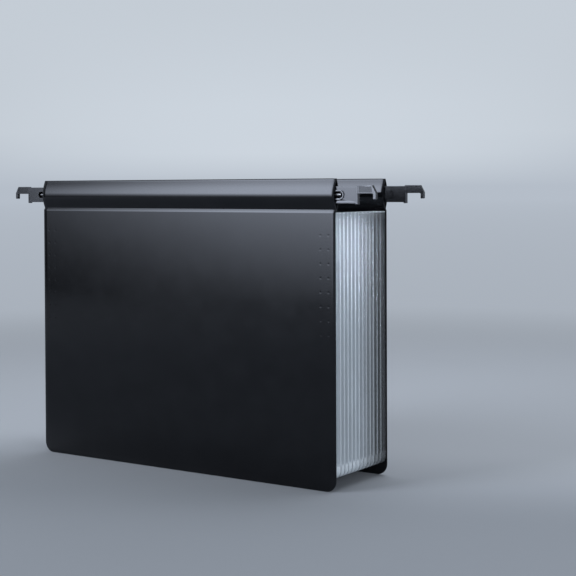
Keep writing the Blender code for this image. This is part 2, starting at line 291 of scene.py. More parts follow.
class StudioSettings(bpy.types.PropertyGroup):
    """The camera's place and the studio's colours."""

    camera_place: FloatVectorProperty(
        name="Camera place", description="Where the camera stands", subtype="XYZ", size=3,
        default=(0.7590, -0.9834, 0.25326), unit="LENGTH",
    )
    camera_turn: FloatProperty(
        name="Camera turn", description="Turn of the view about the vertical",
        default=math.radians(34.25), unit="ROTATION",
    )
    camera_tilt: FloatProperty(
        name="Camera tilt", description="How far the view points down",
        default=0.02, unit="ROTATION",
    )
    camera_roll: FloatProperty(
        name="Camera roll", description="Roll of the camera", default=math.radians(-0.252),
        unit="ROTATION",
    )
    focal_length: FloatProperty(
        name="Focal length", description="Focal length on a 36 mm frame, in millimetres",
        default=84.60, min=20.0, max=200.0,
    )
    shift: FloatProperty(
        name="Vertical shift", description="Lens shift as a share of the frame", default=-0.1288,
    )
    floor_radius: FloatProperty(
        name="Floor radius", description="How far the floor reaches", default=30.0, unit="LENGTH",
    )
    sweep_middle: FloatVectorProperty(
        name="Sweep middle", description="Where the floor starts to turn paler", subtype="XYZ", size=3,
        default=(0.068, 0.0025, 0.0), unit="LENGTH",
    )
    sweep_turn: FloatProperty(
        name="Sweep turn", description="Turn of the line along which the floor turns paler",
        default=math.radians(18.0), unit="ROTATION",
    )
    sweep_width: FloatProperty(
        name="Sweep width", description="Half the width over which the floor turns paler",
        default=0.14, min=0.01, unit="LENGTH",
    )
    floor_colour: FloatVectorProperty(
        name="Floor colour", description="Colour of the floor in front of the file", subtype="COLOR",
        size=3, default=(0.197, 0.207, 0.220), min=0.0, max=1.0,
    )
    sweep_colour: FloatVectorProperty(
        name="Sweep colour", description="Colour of the floor behind the file", subtype="COLOR",
        size=3, default=(0.318, 0.329, 0.345), min=0.0, max=1.0,
    )
    haze_colour: FloatVectorProperty(
        name="Haze colour", description="Colour of the far floor", subtype="COLOR", size=3,
        default=(0.375, 0.415, 0.472), min=0.0, max=1.0,
    )
    horizon_colour: FloatVectorProperty(
        name="Horizon colour", description="Colour of the backdrop at the floor's end",
        subtype="COLOR", size=3, default=(0.46, 0.51, 0.58), min=0.0, max=1.0,
    )
    sky_colour: FloatVectorProperty(
        name="Backdrop colour", description="Colour of the upper backdrop", subtype="COLOR",
        size=3, default=(0.555, 0.608, 0.67), min=0.0, max=1.0,
    )
    key_place: FloatVectorProperty(
        name="Key panel place", description="Foot of the light panel in front on the left",
        subtype="XYZ", size=3, default=(-1.096, -1.672, 0.0), unit="LENGTH",
    )
    key_height: FloatProperty(
        name="Key panel height", description="Height of the light panel", default=2.3, min=0.2,
        unit="LENGTH",
    )
    key_strength: FloatProperty(
        name="Key panel strength", description="Brightness of the light panel", default=11.6, min=0.0,
    )
    room_colour: FloatVectorProperty(
        name="Room colour", description="Colour of the room above and opposite the backdrop",
        subtype="COLOR", size=3, default=(0.20, 0.215, 0.24), min=0.0, max=1.0,
    )


def build_mesh(name, points, faces, slot, material=None, smooth_angle=32.0):
    """One object from points and faces, with its faces turned outward and round parts smooth."""
    mesh = bpy.data.meshes.new(name)
    mesh.from_pydata([tuple(point) for point in points], [], faces)
    shape = bmesh.new()
    shape.from_mesh(mesh)
    bmesh.ops.recalc_face_normals(shape, faces=shape.faces)
    shape.to_mesh(mesh)
    shape.free()
    mesh.shade_smooth()
    mesh.set_sharp_from_angle(angle=math.radians(smooth_angle))
    piece = bpy.data.objects.new(name, mesh)
    bpy.context.collection.objects.link(piece)
    if material:
        mesh.materials.append(material)
    return piece


def apply_modifiers(piece):
    """Replace a piece's mesh by what its modifiers make of it."""
    bpy.context.view_layer.update()
    evaluated = piece.evaluated_get(bpy.context.evaluated_depsgraph_get())
    mesh = bpy.data.meshes.new_from_object(evaluated)
    piece.modifiers.clear()
    piece.data = mesh


def new_material(name):
    """A node material, its tree and its Principled shader."""
    material = bpy.data.materials.new(name)
    material.use_nodes = True
    tree = material.node_tree
    return material, tree, tree.nodes["Principled BSDF"]


def add_node(tree, kind, **inputs):
    """A node with some of its inputs set."""
    node = tree.nodes.new(kind)
    for key, value in inputs.items():
        node.inputs[key.replace("_", " ")].default_value = value
    return node


def object_place(tree):
    """The coordinates of a material, in metres from its object's origin."""
    return tree.nodes.new("ShaderNodeTexCoord").outputs["Object"]


NOISE_ROUGHNESS = 0.55
# Nearly all the values of a noise lie between these two.
NOISE_LOW, NOISE_HIGH = 0.3, 0.7


def noise_of(tree, coordinates, scale, detail=3.0, stretch=(1.0, 1.0, 1.0)):
    """A noise texture in object coordinates, stretched along the axes."""
    mapping = tree.nodes.new("ShaderNodeMapping")
    mapping.inputs["Scale"].default_value = stretch
    tree.links.new(coordinates, mapping.inputs["Vector"])
    noise = add_node(tree, "ShaderNodeTexNoise", Scale=scale, Detail=detail)
    noise.inputs["Roughness"].default_value = NOISE_ROUGHNESS
    tree.links.new(mapping.outputs["Vector"], noise.inputs["Vector"])
    return noise.outputs["Fac"]


def range_of(tree, value, low, high, start=NOISE_LOW, end=NOISE_HIGH, smooth=False):
    """A value from start to end, turned into a value from low to high."""
    node = tree.nodes.new("ShaderNodeMapRange")
    node.interpolation_type = "SMOOTHSTEP" if smooth else "LINEAR"
    node.inputs["From Min"].default_value = start
    node.inputs["From Max"].default_value = end
    node.inputs["To Min"].default_value = low
    node.inputs["To Max"].default_value = high
    tree.links.new(value, node.inputs["Value"])
    return node.outputs["Result"]


def blend_of(tree, factor, first, second):
    """A colour between two colours, each a fixed colour or another node's output."""
    node = tree.nodes.new("ShaderNodeMix")
    node.data_type = "RGBA"
    sockets = [socket for socket in node.inputs if socket.type == "RGBA"]
    for value, socket in zip((first, second), sockets):
        if isinstance(value, bpy.types.NodeSocket):
            tree.links.new(value, socket)
        else:
            socket.default_value = (*value, 1.0)
    tree.links.new(factor, node.inputs["Factor"])
    return next(socket for socket in node.outputs if socket.type == "RGBA")


def bump_of(tree, height, distance, strength, normal=None):
    """A bump from a height, on top of another bump if there is one."""
    node = add_node(tree, "ShaderNodeBump", Strength=strength, Distance=distance)
    tree.links.new(height, node.inputs["Height"])
    if normal:
        tree.links.new(normal, node.inputs["Normal"])
    return node.outputs["Normal"]


def math_of(tree, operation, first, second=0.0):
    """A sum, product or other result of two values, each a number or another node's output."""
    node = tree.nodes.new("ShaderNodeMath")
    node.operation = operation
    for value, socket in zip((first, second), node.inputs):
        if isinstance(value, bpy.types.NodeSocket):
            tree.links.new(value, socket)
        else:
            socket.default_value = value
    return node.outputs["Value"]


def dot_of(tree, vector, direction):
    """How far a vector reaches along a fixed direction."""
    node = tree.nodes.new("ShaderNodeVectorMath")
    node.operation = "DOT_PRODUCT"
    tree.links.new(vector, node.inputs[0])
    node.inputs[1].default_value = direction
    return node.outputs["Value"]


def seen_of(tree):
    """1 for a ray from the camera, a glossy surface or a clear one, and 0 for any other ray."""
    rays = tree.nodes.new("ShaderNodeLightPath")
    direct = math_of(tree, "MAXIMUM", rays.outputs["Is Camera Ray"], rays.outputs["Is Glossy Ray"])
    return math_of(tree, "MAXIMUM", direct, rays.outputs["Is Transmission Ray"])


def mix_shaders(tree, factor, first, second, output):
    """Lead a mix of two shaders to the tree's output."""
    mix = tree.nodes.new("ShaderNodeMixShader")
    tree.links.new(factor, mix.inputs["Fac"])
    tree.links.new(first, mix.inputs[1])
    tree.links.new(second, mix.inputs[2])
    tree.links.new(mix.outputs["Shader"], tree.nodes[output].inputs["Surface"])


def scaled(colour, share):
    """A colour times a share, which makes it darker or lighter."""
    return tuple(min(1.0, channel * share) for channel in colour)


class PlasticFinish(NamedTuple):
    """A plastic's mottle, grain and slow wave: noise scales, and depths in metres.

    The shares are of the colour, and the gloss spread is added to the roughness either way.
    """

    mottle_scale: float
    shares: tuple
    gloss_spread: float
    grain_scale: float
    grain_depth: float
    wave_scale: float
    wave_stretch: tuple
    wave_depth: float


BLACK_FINISH = PlasticFinish(
    mottle_scale=60.0, shares=(0.8, 1.25), gloss_spread=0.015, grain_scale=2600.0,
    grain_depth=0.00002, wave_scale=7.0, wave_stretch=(1.0, 1.0, 2.2), wave_depth=0.001,
)
FROSTED_FINISH = PlasticFinish(
    mottle_scale=24.0, shares=(0.93, 1.05), gloss_spread=0.04, grain_scale=1800.0,
    grain_depth=0.00003, wave_scale=14.0, wave_stretch=(1.0, 1.0, 0.35), wave_depth=0.001,
)


def mottled_tint(tree, mottle, colour, shares):
    """A colour that a mottle turns a little darker and lighter."""
    darker, lighter = (scaled(colour, share) for share in shares)
    return blend_of(tree, range_of(tree, mottle, 0.0, 1.0), darker, lighter)


def plastic(name, finish, colour, roughness, grain, wave):
    """A plastic's material, tree, shader and tint, with its gloss and its bumps in place.

    grain and wave say how strongly the fine grain and the slow wave show.
    """
    material, tree, shader = new_material(name)
    place = object_place(tree)
    mottle = noise_of(tree, place, finish.mottle_scale)
    fine = noise_of(tree, place, finish.grain_scale, detail=2.0)
    slow = noise_of(tree, place, finish.wave_scale, detail=1.0, stretch=finish.wave_stretch)
    rough = range_of(tree, mottle, roughness - finish.gloss_spread, roughness + finish.gloss_spread)
    tree.links.new(rough, shader.inputs["Roughness"])
    normal = bump_of(tree, fine, finish.grain_depth, grain)
    normal = bump_of(tree, slow, finish.wave_depth, wave, normal)
    tree.links.new(normal, shader.inputs["Normal"])
    return material, tree, shader, mottled_tint(tree, mottle, colour, finish.shares)


SHEEN_TINT = (0.90, 0.92, 1.0, 1.0)


def black_plastic(name, colour, roughness, level, grain, wave=0.0):
    """Satin black plastic with a fine grain, and a slow wave where the sheet isn't quite flat."""
    material, tree, shader, tint = plastic(name, BLACK_FINISH, colour, roughness, grain, wave)
    tree.links.new(tint, shader.inputs["Base Color"])
    shader.inputs["Specular IOR Level"].default_value = level
    shader.inputs["Specular Tint"].default_value = SHEEN_TINT
    return material


STEEL_LINE_SCALE = 900.0
STEEL_LINE_STRETCH = (0.02, 1.0, 1.0)
STEEL_LINE_DEPTH = 0.00003
STEEL_LINE_BUMP = 0.4
STEEL_ROUGHNESS = (0.32, 0.44)
STEEL_BLOTCH_SCALE = 40.0
STEEL_SHARES = (0.9, 1.05)


def drawn_steel(name, colour):
    """Drawn steel wire with fine lines along its length."""
    material, tree, shader = new_material(name)
    place = object_place(tree)
    lines = noise_of(tree, place, STEEL_LINE_SCALE, stretch=STEEL_LINE_STRETCH)
    blotch = noise_of(tree, place, STEEL_BLOTCH_SCALE)
    tree.links.new(mottled_tint(tree, blotch, colour, STEEL_SHARES), shader.inputs["Base Color"])
    tree.links.new(range_of(tree, lines, *STEEL_ROUGHNESS), shader.inputs["Roughness"])
    bump = bump_of(tree, lines, STEEL_LINE_DEPTH, STEEL_LINE_BUMP)
    tree.links.new(bump, shader.inputs["Normal"])
    shader.inputs["Metallic"].default_value = 1.0
    return material


# Painted shade: the frosted plastics' colour is made darker toward the film's top edge, where no sheet
# stands behind the film to light it from behind.
FILM_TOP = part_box("pleat_01")[1].z
TOP_SHADE_HEIGHT = 0.020
TOP_SHADE_BAND = (FILM_TOP - TOP_SHADE_HEIGHT, FILM_TOP)
TOP_SHADE_SHARE = 0.72
FROSTED_GRAIN = 0.2
FROSTED_WAVE = 0.5


def frosted_plastic(name, colour, alpha, roughness):
    """Frosted plastic that lets part of the light through, with painted shade toward the film's top."""
    look = plastic(name, FROSTED_FINISH, colour, roughness, FROSTED_GRAIN, FROSTED_WAVE)
    material, tree, shader, tint = look
    height = dot_of(tree, object_place(tree), UP)
    # Painted shade: the colour turns darker over the band just below the film's top edge.
    band = range_of(tree, height, 0.0, 1.0, *TOP_SHADE_BAND, smooth=True)
    tint = blend_of(tree, band, tint, scaled(colour, TOP_SHADE_SHARE))
    tree.links.new(tint, shader.inputs["Base Color"])
    shader.inputs["Alpha"].default_value = alpha
    return material


def arc_points(centre, radius, first, last, steps):
    """Points along an arc, from one angle to another."""
    points = []
    for step in range(steps + 1):
        angle = first + (last - first) * step / steps
        points.append((centre[0] + radius * math.cos(angle), centre[1] + radius * math.sin(angle)))
    return points


def lofted(rings):
    """Points and faces of a closed shape from rings of points, each joined to the next."""
    count = len(rings[0])
    points = [point for ring in rings for point in ring]
    faces = [tuple(range(count)), tuple(range(len(points) - count, len(points)))]
    for start in range(0, len(points) - count, count):
        for i in range(count):
            j = (i + 1) % count
            faces.append((start + i, start + j, start + j + count, start + i + count))
    return points, faces


def add_bevel(piece, radius, segments, angle):
    """Have a piece's edges rounded where they are sharper than an angle in degrees."""
    edges = piece.modifiers.new("edges", "BEVEL")
    edges.width = radius
    edges.segments = segments
    edges.limit_method = "ANGLE"
    edges.angle_limit = math.radians(angle)


# Into how many steps an arc, a small fillet, the sleeve's wall and its fold are divided.
ARC_STEPS = 10
FILLET_STEPS = 5
SLEEVE_STEPS = 26
FOLD_STEPS = 8
# Points count as one from this many equal digits, or up to this distance, in metres.
POINT_DIGITS = 7
MERGE_DISTANCE = 0.000002

# Rings of a weld dot, as shares of its radius and of its depth.
WELD_RINGS = ((1.35, 0.0), (1.0, 0.0), (0.72, 0.55), (0.35, 0.95))
WELD_SIDES = 12
# How far the columns of dots stand from the cover's sides, the first row from its top, and the
# last row at least from its bottom.
WELD_COLUMNS = (0.0068, 0.0146)
WELD_TOP_DROP = 0.0472
WELD_BOTTOM = 0.026
# Half the width of the square round a dot.
WELD_CELL = 0.0026
# An extra row of faces below the welded strip keeps the crease over it crisp.
CREASE_SUPPORT = 0.0006
# In degrees: from which turn a sheet's edge is rounded, and up to which a bend looks smooth.
SHEET_EDGE_ANGLE = 50
SHEET_SMOOTH_ANGLE = 40
SHEET_EDGE_SEGMENTS = 2


def sleeve_path(cover, crease, top):
    """The middle of the sleeve's wall as (outward, z), from the crease over the fold and back."""
    half = cover.thickness / 2
    ends = cover.fold_gap + half
    middle = cover.sleeve_half - half
    level = top - cover.fold_gap - cover.thickness
    front = []
    for step in range(SLEEVE_STEPS + 1):
        share = step / SLEEVE_STEPS
        width = ends + (middle - ends) * math.sin(math.pi * share)
        front.append((width, crease + share * (level - crease)))
    fold = arc_points((0.0, level), ends, 0.0, math.pi, FOLD_STEPS)[1:-1]
    back = [(-width, z) for width, z in reversed(front)]
    return [(width - cover.sleeve_set_back, z) for width, z in front + fold + back]


class CoverMeasures:
    """The lengths of a cover that its mesh is built from."""

    def __init__(self, settings, place):
        low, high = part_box(f"{place}_cover")
        self.thickness = settings.thickness
        self.fold_gap = settings.fold_gap
        self.sleeve_set_back = settings.sleeve_set_back
        self.sleeve_half = (high.y - low.y) / 2
        self.sleeve_middle = (high.y + low.y) / 2
        self.half_width = high.x
        self.top = high.z
        self.crease = high.z - settings.sleeve_height
        self.foot = self.crease - settings.foot_height


def is_centred(low, high, middles):
    """Whether a stretch has one of the given middles."""
    return any(abs((low + high) / 2 - middle) < MERGE_DISTANCE for middle in middles)


def cover_surface(settings, measures):
    """Points (x, outward, z) and faces of the middle surface of a cover sheet."""
    half_width = measures.half_width
    middle = -measures.thickness / 2
    radius = settings.corner_radius
    columns = [side * (half_width - inset) for inset in WELD_COLUMNS for side in SIDES]
    rows = []
    level = measures.top - WELD_TOP_DROP
    while level > WELD_BOTTOM:
        rows.append(level)
        level -= settings.weld_pitch
    xs = sorted(x + edge for x in columns for edge in (-WELD_CELL, WELD_CELL))
    xs = [-half_width] + xs + [half_width]
    zs = sorted(z + edge for z in rows for edge in (-WELD_CELL, WELD_CELL))
    points, faces, index = [], [], {}

    def add(x, outward, z):
        """The number of a point, which is added if it is new."""
        key = tuple(round(length, POINT_DIGITS) for length in (x, outward, z))
        if key not in index:
            index[key] = len(points)
            points.append((x, outward, z))
        return index[key]

    def weld(x0, x1, z0, z1):
        """A weld dot, pressed into the middle of a square."""
        cx, cz = (x0 + x1) / 2, (z0 + z1) / 2
        corners = [add(x, middle, z) for x, z in ((x1, z0), (x1, z1), (x0, z1), (x0, z0))]
        rings = []
        for share, sunk in WELD_RINGS:
            ring = []
            for side in range(WELD_SIDES):
                angle = 2 * math.pi * (side / WELD_SIDES) - math.pi / 4
                reach = settings.weld_radius * share
                x, z = cx + reach * math.cos(angle), cz + reach * math.sin(angle)
                ring.append(add(x, middle - settings.weld_depth * sunk, z))
            rings.append(ring)
        quarter = WELD_SIDES // len(corners)
        for side in range(len(corners)):
            arc = [rings[0][(side * quarter + i) % WELD_SIDES] for i in range(quarter + 1)]
            faces.append((corners[side], corners[(side + 1) % len(corners)], *reversed(arc)))
        for outer, inner in zip(rings, rings[1:]):
            for i in range(WELD_SIDES):
                j = (i + 1) % WELD_SIDES
                faces.append((outer[i], outer[j], inner[j], inner[i]))
        faces.append(tuple(rings[-1]))

    for x0, x1 in zip(xs, xs[1:]):
        for z0, z1 in zip(zs, zs[1:]):
            if is_centred(x0, x1, columns) and is_centred(z0, z1, rows):
                weld(x0, x1, z0, z1)
            else:
                corners = ((x0, z0), (x1, z0), (x1, z1), (x0, z1))
                faces.append(tuple(add(x, middle, z) for x, z in corners))

    right = arc_points((half_width - radius, radius), radius, 0.0, -math.pi / 2, ARC_STEPS)
    left = [(-x, z) for x, z in reversed(right)]
    rim = [add(x, middle, z) for x, z in right + left]
    faces.append((*rim, *[add(x, middle, zs[0]) for x in xs]))

    profile = [(middle, zs[-1]), (middle, measures.foot - CREASE_SUPPORT), (middle, measures.foot)]
    profile += sleeve_path(measures, measures.crease, measures.top)
    profile.append((middle - measures.thickness - 2 * measures.fold_gap, measures.foot))
    for (a_out, a_z), (b_out, b_z) in zip(profile, profile[1:]):
        for x0, x1 in zip(xs, xs[1:]):
            corners = ((x0, a_out, a_z), (x1, a_out, a_z), (x1, b_out, b_z), (x0, b_out, b_z))
            faces.append(tuple(add(*corner) for corner in corners))
    return points, faces


def build_cover(settings, side, material):
    """Build a cover: one sheet with its weld dots, its folded sleeve and rounded edges."""
    place = PLACES[side]
    measures = CoverMeasures(settings, place)
    outer_face = measures.sleeve_middle + side * measures.sleeve_set_back
    points, faces = cover_surface(settings, measures)
    points = [(x, outer_face + side * outward, z) for x, outward, z in points]
    piece = build_mesh(f"{place}_cover_sheet", points, faces, "cover_black", material)
    solid = piece.modifiers.new("sheet", "SOLIDIFY")
    solid.thickness = measures.thickness
    solid.offset = 0.0
    solid.use_even_offset = True
    add_bevel(piece, settings.edge_radius, SHEET_EDGE_SEGMENTS, SHEET_EDGE_ANGLE)
    apply_modifiers(piece)
    piece.data.shade_smooth()
    piece.data.set_sharp_from_angle(angle=math.radians(SHEET_SMOOTH_ANGLE))
    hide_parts(f"{place}_cover")
    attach(piece, f"{place}_cover")


ROD_SIDES = 40
CHAMFER_SHARE = 0.25


def build_rod(settings, side, material):
    """Build a steel rod with chamfered ends."""
    place = PLACES[side]
    low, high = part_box(f"{place}_rod")
    radius = settings.rod_diameter / 2
    chamfer = radius * CHAMFER_SHARE
    y, z = (low.y + high.y) / 2, (low.z + high.z) / 2
    stations = (
        (low.x, radius - chamfer),
        (low.x + chamfer, radius),
        (high.x - chamfer, radius),
        (high.x, radius - chamfer),
    )
    rings = []
    for x, reach in stations:
        circle = arc_points((y, z), reach, 0.0, 2 * math.pi, ROD_SIDES)[:-1]
        rings.append([(x, *point) for point in circle])
    points, faces = lofted(rings)
    piece = build_mesh(f"{place}_steel_rod", points, faces, "steel", material)
    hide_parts(f"{place}_rod")
    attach(piece, f"{place}_rail")


def extruded(outline, near, far):
    """Points and faces of an outline in XZ that runs from near to far along Y."""
    return lofted([[(x, y, z) for x, z in outline] for y in (near, far)])


def rounded(corners):
    """An outline from corners (u, w, radius), each with a radius turned into an arc."""
    outline = []
    for i, (u, w, radius) in enumerate(corners):
        if not radius:
            outline.append((u, w))
            continue
        corner = Vector((u, w))
        before = (Vector(corners[i - 1][:2]) - corner).normalized()
        after = (Vector(corners[(i + 1) % len(corners)][:2]) - corner).normalized()
        half = 0.5 * before.angle(after)
        centre = corner + (before + after).normalized() * (radius / math.sin(half))
        start = corner + before * (radius / math.tan(half)) - centre
        end = corner + after * (radius / math.tan(half)) - centre
        turn = start.angle_signed(end)
        first = math.atan2(start.y, start.x)
        outline += arc_points(centre, radius, first, first - turn, FILLET_STEPS)
    return outline


class HookOutlines:
    """The outlines of a hook plate's shapes, as (u, w).

    u runs out of the file from the sleeve's end, and w up from the rod's axis.
    """

    def __init__(self, rail):
        top = rail.plate_height / 2
        arm_top = top + rail.arm_rise
        arm_under = arm_top - rail.arm_height
        reach = rail.plate_reach
        foot = reach - rail.foot_width
        foot_bottom = -top - rail.foot_drop
        lip = reach + rail.notch_width
        tip = lip + rail.lip_width
        root = reach - rail.arm_root
        radius = rail.corner_radius
        border = rail.border_width
        self.plate = rounded([
            (-rail.tail_length, -top, radius),
            (foot, -top, 0.0),
            (foot, foot_bottom, rail.foot_drop / 2),
            (reach, foot_bottom, rail.foot_drop / 2),
            (reach, top, 0.0),
            (-rail.tail_length, top, radius),
        ])
        self.plate_field = rounded([
            (border - rail.tail_length, border - top, radius / 2),
            (reach - border, border - top, radius / 2),
            (reach - border, top - border, radius / 2),
            (border - rail.tail_length, top - border, radius / 2),
        ])
        self.arm = rounded([
            (root, arm_under, 0.0),
            (lip, arm_under, radius),
            (lip, arm_under - rail.lip_drop, radius / 2),
            (tip, arm_under - rail.lip_drop, radius),
            (tip, arm_top - rail.nose_height, radius),
            (tip - rail.nose_width, arm_top, radius),
            (root + rail.arm_rise, arm_top, 0.0),
            (root, top - rail.arm_rise, 0.0),
        ])
        self.arm_field = rounded([
            (reach + border, arm_under + border, radius / 2),
            (lip - border / 2, arm_under + border, radius / 2),
            (tip - rail.nose_width - border, arm_top - border, radius / 2),
            (reach + border, arm_top - border, radius / 2),
        ])
        self.rim = self.slot_outline(rail, rail.rim_width, rail.rim_width - rail.tail_length)
        self.slot = self.slot_outline(rail, 0.0, -rail.slot_tail)

    @staticmethod
    def slot_outline(rail, grow, tail):
        """The slot, round at its outer end, or its rim, grown all round and run back to tail."""
        half = rail.slot_height / 2 + grow
        centre = (rail.slot_reach - rail.slot_height / 2, 0.0)
        bend = arc_points(centre, half, -math.pi / 2, math.pi / 2, 2 * ARC_STEPS)
        return [(tail, half), (tail, -half)] + bend


BORE_SIDES = 32


def bore_shape(radius, start, end):
    """Points and faces of a cylinder along X, from start to end."""
    circle = arc_points((0.0, 0.0), radius, 0.0, 2 * math.pi, BORE_SIDES)[:-1]
    return lofted([[(x, y, z) for y, z in circle] for x in (start, end)])


def combine(host, other, operation):
    """Join another piece to a piece or cut it out of the piece, and remove the other."""
    modifier = host.modifiers.new("combine", "BOOLEAN")
    modifier.operation = operation
    modifier.object = other
    modifier.solver = "EXACT"
    apply_modifiers(host)
    bpy.data.objects.remove(other)


def carve(host, points, faces, operation):
    """Join a closed shape to a piece or cut it out of the piece."""
    combine(host, build_mesh("carving_shape", points, faces, None), operation)


# In degrees: from which turn a moulded edge is rounded.
MOULDED_EDGE_ANGLE = 38
OUTER_SEGMENTS = 3
DETAIL_SEGMENTS = 2
FLAT_ANGLE = math.radians(1.0)
# How squarely a face of a hook looks forward or back, from which it counts as a flat field.
FIELD_FACING = 0.9


def soften(piece, radius, segments):
    """Round the sharp edges of a piece and keep its flat faces flat."""
    piece.data.shade_smooth()
    add_bevel(piece, radius, segments, MOULDED_EDGE_ANGLE)
    normals = piece.modifiers.new("normals", "WEIGHTED_NORMAL")
    normals.keep_sharp = True
    apply_modifiers(piece)


def merge_flat_faces(mesh):
    """Join the points of a mesh that lie together, and the faces that lie in one plane."""
    shape = bmesh.new()
    shape.from_mesh(mesh)
    bmesh.ops.remove_doubles(shape, verts=shape.verts, dist=MERGE_DISTANCE)
    bmesh.ops.dissolve_limit(shape, angle_limit=FLAT_ANGLE, verts=shape.verts, edges=shape.edges)
    shape.to_mesh(mesh)
    shape.free()


def build_hook(rail, outlines, side, hand, materials):
    """Build a hook plate: bordered faces, a rimmed slot round the rod's end, an arm and a lip."""
    place = PLACES[side]
    node = f"{place}_hook_{SIDES[hand]}"
    low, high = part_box(node)
    rod_low, rod_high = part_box(f"{place}_rod")
    cover_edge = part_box(f"{place}_cover")[1].x
    middle = (low.y + high.y) / 2
    level = (rod_low.z + rod_high.z) / 2

    def shape(outline, inner, outer):
        """An outline set in place; inner and outer are measured out of the file."""
        spots = [(hand * (cover_edge + u), level + w) for u, w in outline]
        ends = sorted((middle + side * inner, middle + side * outer))
        return extruded(spots, *ends)

    def bordered(name, outline, field_outline, half, slot):
        """A plate with rounded edges, whose two faces are sunk inside a border."""
        plate = build_mesh(name, *shape(outline, -half, half), slot)
        soften(plate, rail.edge_radius, OUTER_SEGMENTS)
        for face in (-1, 1):
            field = shape(field_outline, face * (half - rail.border_height), face * past)
            carve(plate, *field, "DIFFERENCE")
        return plate

    plate_half = rail.plate_thickness / 2
    arm_half = rail.arm_thickness / 2
    rim_half = rail.rim_thickness / 2
    past = rail.rim_thickness
    name = f"{place}_{SIDES[hand]}_hook_plate"
    hook = bordered(name, outlines.plate, outlines.plate_field, plate_half, "hook_black")
    arm = bordered("arm_shape", outlines.arm, outlines.arm_field, arm_half, None)
    combine(hook, arm, "UNION")
    carve(hook, *shape(outlines.rim, -rim_half, rim_half), "UNION")
    rod_gap = rail.rod_diameter / 2 + rail.rod_clearance
    carve(hook, *shape(outlines.slot, -rod_gap, past), "DIFFERENCE")
    bore, bore_faces = bore_shape(rod_gap, -2 * rail.tail_length, -rail.slot_tail / 2)
    bore = [(hand * (cover_edge + x), middle + y, level + z) for x, y, z in bore]
    carve(hook, bore, bore_faces, "DIFFERENCE")

    merge_flat_faces(hook.data)
    soften(hook, rail.detail_radius, DETAIL_SEGMENTS)
    hook.data.materials.clear()
    for material in materials:
        hook.data.materials.append(material)
    fields = [half - rail.border_height for half in (plate_half, arm_half)]
    for face in hook.data.polygons:
        reach = abs(face.center.y - middle)
        for index, field in enumerate(fields, start=1):
            if abs(reach - field) < MERGE_DISTANCE and abs(face.normal.y) > FIELD_FACING:
                face.material_index = index
    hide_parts(node)
    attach(hook, f"{place}_rail")


# In degrees: up to which bend the film looks smooth.
FILM_SMOOTH_ANGLE = 50.0


def swept_film(name, section_at, stations, slot, materials):
    """A closed strip of film: its section at each station, joined from station to station.

    The second material, if there is one, is for the rim between the two topmost stations.
    """
    rings = []
    for (x, z), (turn_x, turn_z), share in stations:
        rings.append([(x + inward * turn_x, y, z + inward * turn_z) for inward, y in section_at(share)])
    piece = build_mesh(name, *lofted(rings), slot, materials[0], FILM_SMOOTH_ANGLE)
    if len(materials) > 1:
        piece.data.materials.append(materials[1])
        rim = stations[1][0][1] - MERGE_DISTANCE
        for face in piece.data.polygons:
            lowest = min(piece.data.vertices[i].co.z for i in face.vertices)
            face.material_index = int(lowest >= rim)
    return piece


SIDE_STEPS = 4
CORNER_STEPS = 12
FLOOR_STEPS = 3
# Over how far a pleat and a seam turn from their full shape into the flattened one.
FADE_STEPS = 6
PLEAT_FADE = 0.0036
SEAM_FADE = 0.0012


def film_stations(film, low, high, fade):
    """Stations down one side of a pocket, round its lower corner and on to the middle, twice.

    Each is a point (x, z), the direction into the file there, and a share that is 1 on the
    corners, where the film is pressed flat, and falls to 0 over the length of the fade.
    """
    radius = film.corner_radius
    level = low.z + radius
    reach = high.x - radius
    fades = []
    for step in range(FADE_STEPS + 1):
        part = step / FADE_STEPS
        distance = film.corner_band + fade * part
        fades.append((distance, 1.0 - part * part * (3.0 - 2.0 * part)))
    half = [((-high.x, high.z), (1.0, 0.0), 0.0)]
    start, end = high.z - film.rim_height, level + film.corner_band + fade
    for step in range(SIDE_STEPS):
        half.append(((-high.x, start + (end - start) * step / SIDE_STEPS), (1.0, 0.0), 0.0))
    half += [((-high.x, level + distance), (1.0, 0.0), share) for distance, share in fades[::-1]]
    for step in range(CORNER_STEPS + 1):
        angle = math.pi + 0.5 * math.pi * step / CORNER_STEPS
        out_x, out_z = math.cos(angle), math.sin(angle)
        place = (-reach + radius * out_x, level + radius * out_z)
        half.append((place, (-out_x, -out_z), 1.0))
    half += [((distance - reach, low.z), (0.0, 1.0), share) for distance, share in fades]
    start = half[-1][0][0]
    for step in range(1, FLOOR_STEPS):
        half.append(((start * (1.0 - step / FLOOR_STEPS), low.z), (0.0, 1.0), 0.0))
    mirrored = [((-x, z), (-turn_x, turn_z), share) for (x, z), (turn_x, turn_z), share in half]
    return half + [((0.0, low.z), (0.0, 1.0), 0.0)] + mirrored[::-1]


# The radius of a pleat's fold, and at most what share of half the pocket's gap it takes.
BEND_RADIUS = 0.0011
BEND_SHARE = 0.5
BEND_STEPS = 8
# The least radius on the hollow side of the fold, as a share of the fold's radius.
HOLLOW_SHARE = 0.4
# Where the flange's inner face starts, in thicknesses of the film.
FLANGE_START = 3.0


